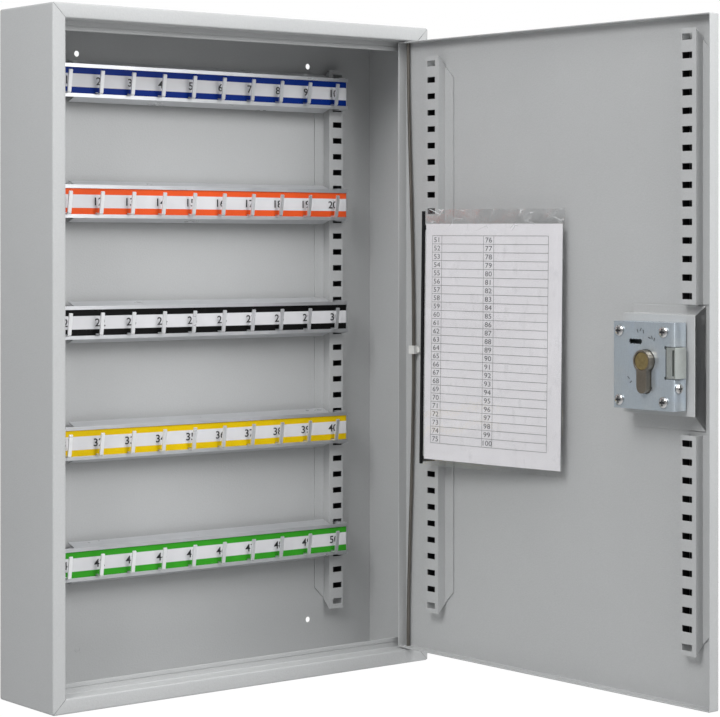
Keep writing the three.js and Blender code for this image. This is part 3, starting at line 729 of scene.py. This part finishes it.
# ---------------------------------------------------------------- index holder
HOLDER_TILT = math.radians(0.8)  # the holder hangs with its lower end further out
SPINE_U, SPINE_W = 42.0, 25.0
SLEEVE_U0, SLEEVE_U1 = 43.6, 192.6
SLEEVE_LOW, SLEEVE_HIGH = -99.0, 116.5
SHEET_U0, SHEET_U1 = 45.4, 190.6
SHEET_LOW, SHEET_HIGH = -94.0, 104.3


def holder_point(u, w, z):
    """A point given in the index holder's own upright frame."""
    w, z = w - SET_BACK, z
    across = w * math.cos(HOLDER_TILT) - z * math.sin(HOLDER_TILT)
    up = w * math.sin(HOLDER_TILT) + z * math.cos(HOLDER_TILT)
    return door_point(u, across + SET_BACK, up)


def sleeve_w(u):
    """How far the sleeve's middle stands off the door's outer skin, as it curves back from its spine."""
    share = max(0.0, (u - SPINE_U) / (SLEEVE_U1 - SPINE_U))
    return SPINE_W - 16 * share ** 1.25


def sheet_offset(u, z):
    """The paper's own soft buckling inside the sleeve."""
    along = (u - SHEET_U0) / (SHEET_U1 - SHEET_U0)
    up = (z - SHEET_LOW) / (SHEET_HIGH - SHEET_LOW)
    return 0.16 * math.sin(math.pi * along) * math.cos(2 * math.pi * up)


def spine_clip(node, black):
    """A short peg behind the spine, from the spine to the strip's face."""
    low, high = size_of(node)
    middle = (low.z + high.z) / 2
    verts = [holder_point(u, w, middle + z) for w in (11.0, SPINE_W - 0.5) for u, z in
             ((SPINE_U - 0.9, -2.2), (SPINE_U + 0.9, -2.2), (SPINE_U + 0.9, 2.2), (SPINE_U - 0.9, 2.2))]
    faces = [(0, 1, 2, 3), (7, 6, 5, 4)] + [(k, k + 4, (k + 1) % 4 + 4, (k + 1) % 4) for k in range(4)]
    new_piece(node + "_peg", verts, faces, "door", black, [node])


def grid_sheet(u0, u1, z0, z1, columns, rows, thickness, offset):
    """A closed thin sheet that follows the sleeve's curve, front and back."""
    verts, faces = [], []
    for side in (0.5, -0.5):
        for j in range(rows + 1):
            for i in range(columns + 1):
                u = u0 + (u1 - u0) * i / columns
                z = z0 + (z1 - z0) * j / rows
                verts.append(holder_point(u, sleeve_w(u) + offset(u, z) + side * thickness, z))
    width = columns + 1
    back = width * (rows + 1)
    for j in range(rows):
        for i in range(columns):
            a = j * width + i
            quad = (a, a + 1, a + 1 + width, a + width)
            faces.append(quad)
            faces.append(tuple(back + k for k in reversed(quad)))
    rim = [i for i in range(width)] + [j * width + columns for j in range(1, rows + 1)]
    rim += [rows * width + i for i in range(columns - 1, -1, -1)] + [j * width for j in range(rows - 1, 0, -1)]
    for a, b in zip(rim, rim[1:] + rim[:1]):
        faces.append((b, a, back + a, back + b))
    return verts, faces


def index_sheet(paper):
    verts, faces = grid_sheet(SHEET_U0, SHEET_U1, SHEET_LOW, SHEET_HIGH, 36, 40, 0.12, sheet_offset)
    new_piece("key_index", verts, faces, "sheet", paper, ["index_sheet"])


def index_print(grey):
    """The ruled table: two columns of numbers with a writing space beside each."""
    rows = 25
    top, bottom = SHEET_HIGH - 10, SHEET_LOW + 14
    pitch = (top - bottom) / rows
    edges = [SHEET_U0 + (SHEET_U1 - SHEET_U0) * share for share in (0.052, 0.126, 0.443, 0.518, 0.904)]
    shapes = []
    line = 0.3
    for r in range(rows + 1):
        z = top - r * pitch
        pieces = 24
        for k in range(pieces):
            a = edges[0] + (edges[-1] - edges[0]) * k / pieces
            b = edges[0] + (edges[-1] - edges[0]) * (k + 1) / pieces
            shapes.append((*flat_bar(a, b, z - line / 2, z + line / 2), 0, 0))
    for u in edges:
        for r in range(rows):
            z = top - r * pitch
            shapes.append((*flat_bar(u - line / 2, u + line / 2, z - pitch, z), 0, 0))
    height = 4.1
    for r in range(rows):
        for first, left, right in ((51, edges[0], edges[1]), (76, edges[2], edges[3])):
            points, faces = numeral_mesh(str(first + r), height, 1.3)
            shapes.append((points, faces, (left + right) / 2, top - (r + 0.5) * pitch - height / 2))
    verts, faces = merge_flat(shapes)
    placed = [holder_point(u, sleeve_w(u) + sheet_offset(u, z) + 0.16, z) for u, z in verts]
    new_piece("index_table", placed, faces, "sheet", grey)


def index_sleeve(film):
    """Two clear films, joined at the spine, the bottom and the far edge, open at the top."""
    for name, side in (("sleeve_front_film", 1), ("sleeve_back_film", -1)):
        def offset(u, z, side=side):
            return side * film_gap(u, z)
        verts, faces = grid_sheet(SLEEVE_U0, SLEEVE_U1, SLEEVE_LOW, SLEEVE_HIGH, 48, 60, 0.14, offset)
        piece = new_piece(name, verts, faces, "sleeve", film)
        if side > 0:
            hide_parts("index_sleeve")


def film_gap(u, z):
    """How far each film stands off the sleeve's middle: closed at three edges, loose and creased at the top."""
    along = (u - SLEEVE_U0) / (SLEEVE_U1 - SLEEVE_U0)
    up = (z - SLEEVE_LOW) / (SLEEVE_HIGH - SLEEVE_LOW)
    shut = min(1.0, min(along, 1 - along) / 0.012) * min(1.0, up / 0.02)
    loose = max(0.0, up - 0.9) / 0.1
    ripple = 0.9 * loose * abs(math.sin(9 * along + 3 * up)) * math.sin(math.pi * along)
    corner = 2.2 * max(0.0, (along - 0.7) / 0.3) * loose * abs(math.sin(14 * along - 9 * up)) * shut
    return 0.9 * shut * (0.6 + 0.4 * abs(math.sin(7 * along + 5 * up))) + ripple + corner


# ---------------------------------------------------------------- studio
CAMERA_PLACE = (-1106.4, -1586.4, 97.7)
CAMERA_YAW = 37.732
CAMERA_TILT = -0.09
IMAGE_WIDTH, IMAGE_HEIGHT = 720, 717
FOCAL_SHARE = 2279.6 / IMAGE_WIDTH
SHIFT = (0.0706, -0.1708)


def photo_camera():
    """A level long lens with the frame shifted down. The shift belongs to this viewpoint only, so it is
    driven to zero when the camera is moved elsewhere."""
    data = bpy.data.cameras.new("camera")
    camera = bpy.data.objects.new("camera", data)
    bpy.context.scene.collection.objects.link(camera)
    camera.location = Vector(CAMERA_PLACE) * MM
    camera.rotation_euler = (math.radians(90 + CAMERA_TILT), 0, math.radians(-CAMERA_YAW))
    data.sensor_width = 36.0
    data.lens = 36.0 * FOCAL_SHARE
    data.clip_start, data.clip_end = 0.05, 60
    for path, amount in (("shift_x", SHIFT[0]), ("shift_y", SHIFT[1])):
        driver = data.driver_add(path).driver
        variable = driver.variables.new()
        variable.name = "place"
        target = variable.targets[0]
        target.id = camera
        target.data_path = "location[0]"
        driver.expression = f"{amount} if abs(place - {camera.location.x:.6f}) < 0.001 else 0.0"
    bpy.context.scene.camera = camera


def area_light(name, place, aim, size, power, colour=(1, 1, 1)):
    data = bpy.data.lights.new(name, "AREA")
    data.shape = "RECTANGLE"
    data.size, data.size_y = size
    data.energy = power
    data.color = colour
    light = bpy.data.objects.new(name, data)
    bpy.context.scene.collection.objects.link(light)
    light.location = place
    light.rotation_euler = (Vector(aim) - Vector(place)).to_track_quat("-Z", "Y").to_euler()
    light.visible_camera = False


def pale_floor():
    """A seamless paper floor: it reads white to the camera and bounces a softer light."""
    look = Look("pale_floor", (0.62, 0.62, 0.62))
    look.shade_by(look.noise(900), 0.99, 1.0)
    look.roughness = 0.8
    material = look.done()
    lit = look.node("ShaderNodeEmission", {"Color": (1, 1, 1, 1), "Strength": 1.06}).outputs[0]
    seen = look.node("ShaderNodeLightPath").outputs["Is Camera Ray"]
    glow = look.math("MULTIPLY", seen, 0.93)
    mixed = look.node("ShaderNodeMixShader", {0: glow, 1: look.shader.outputs[0], 2: lit}).outputs[0]
    look.tree.links.new(mixed, look.tree.nodes["Material Output"].inputs["Surface"])
    return material


def studio():
    """Pale floor and world, with soft boxes above, in front and at the right."""
    floor_mesh = bpy.data.meshes.new("floor")
    half, level = 30.0, -0.9
    floor_mesh.from_pydata(
        [(-half, -half, level), (half, -half, level), (half, half, level), (-half, half, level)], [], [(0, 1, 2, 3)]
    )
    floor = bpy.data.objects.new("floor", floor_mesh)
    bpy.context.scene.collection.objects.link(floor)
    floor_mesh.materials.append(pale_floor())

    world = bpy.data.worlds.new("studio")
    bpy.context.scene.world = world
    world.use_nodes = True
    tree = world.node_tree
    backdrop = tree.nodes["Background"]
    backdrop.inputs["Color"].default_value = (1, 1, 1, 1)
    backdrop.inputs["Strength"].default_value = 1.0
    soft = tree.nodes.new("ShaderNodeBackground")
    soft.inputs["Color"].default_value = (0.97, 0.985, 1.0, 1)
    aim = tree.nodes.new("ShaderNodeSeparateXYZ")
    tree.links.new(tree.nodes.new("ShaderNodeTexCoord").outputs["Generated"], aim.inputs[0])
    height = tree.nodes.new("ShaderNodeMapRange")
    for name, value in (("From Min", -0.3), ("From Max", 0.9), ("To Min", 0.18), ("To Max", 0.56)):
        height.inputs[name].default_value = value
    tree.links.new(aim.outputs["Z"], height.inputs["Value"])
    tree.links.new(height.outputs[0], soft.inputs["Strength"])
    path = tree.nodes.new("ShaderNodeLightPath")
    mix = tree.nodes.new("ShaderNodeMixShader")
    tree.links.new(path.outputs["Is Camera Ray"], mix.inputs[0])
    tree.links.new(soft.outputs[0], mix.inputs[1])
    tree.links.new(backdrop.outputs[0], mix.inputs[2])
    tree.links.new(mix.outputs[0], tree.nodes["World Output"].inputs["Surface"])

    area_light("left_card", (-1.7, -0.8, 1.4), (0, -0.1, 0.15), (1.0, 1.0), 28)
    area_light("key", (0.3, -1.6, 1.25), (0, -0.1, 0.15), (0.9, 0.9), 19)
    area_light("overhead", (-0.2, -1.0, 1.9), (0.1, -0.1, 0.1), (1.4, 1.0), 8)
    area_light("right_card", (1.4, -2.4, 0.9), (0.2, -0.2, 0.1), (1.4, 2.0), 20)
    view = bpy.context.scene.view_settings
    view.view_transform = "Standard"
    view.look = "None"


# ---------------------------------------------------------------- assembly
paint = powder_coat()
rail_zinc = bright_zinc()
passivated = lock_zinc()
bright_steel = polished_steel()
cast = cast_zinc()
steel = drawn_steel()
nickel = satin_nickel()
brass = turned_brass()
nylon = moulded("white_nylon", (0.72, 0.72, 0.70), 0.45)
black = moulded("black_plastic", (0.008, 0.008, 0.009), 0.5, specular=0.2)
print_black = dark_print_and_shade()
# Painted shade for the screw recesses and the punch marks.
recess = dark_print_and_shade("recess", (0.03, 0.03, 0.033))
print_grey = dark_print_and_shade("print_grey", (0.10, 0.10, 0.11))
paper = paper_stock()
film = clear_film()

cabinet_shell(seamed_coat())
door_panel(paint)
hole_cap(paint)
for node in ("back_panel", "strip_left", "strip_right", "door_strip_hinge", "door_strip_lock_top",
             "door_strip_lock_bottom"):
    polish(node, 0.25, paint)
polish("lock_bracket", 0.9, paint, 3)
for row in LABEL_COLOURS:
    polish(f"rail_{row}", 0.2, rail_zinc)
    low, high = size_of(f"label_{row}")
    stock = label_stock(f"label_stock_{row}", LABEL_COLOURS[row], (low.z + high.z) / 2)
    polish(f"label_{row}", 0.0, stock)
    rail_numbers(row, print_black)
for node in ("lock_case", "escutcheon"):
    polish(node, 0.25, passivated)
polish("lock_plate", 0.15, passivated)
polish("bolt", 0.3, cast)
for k, (u, z) in enumerate(((273.2, 22.3), (318.0, 22.3), (273.2, -30.6), (318.0, -30.6)), 1):
    screw_head(f"plate_screw_head_{k}", u, 30.3, z, 4.2, 2.1, "w", bright_steel, recess, f"plate_screw_{k}")
screw_head("cylinder_screw_head", 327.6, 23.8, -20.0, 3.8, 1.6, "u", bright_steel, recess, "cylinder_screw")
punch_marks(recess)
hinge_rod(steel)
for node in ("detent_spring", "cylinder_cam"):
    polish(node, 0.0, steel)
polish("cylinder_body", 0.3, nickel)
polish("cylinder_plug", 0.2, brass)
polish("rod_clip", 0.5, nylon)
polish("index_spine", 0.4, black)
for node in ("spine_clip_top", "spine_clip_bottom"):
    spine_clip(node, black)
index_sheet(paper)
index_print(print_grey)
index_sleeve(film)
studio()
photo_camera()

bpy.context.view_layer.update()
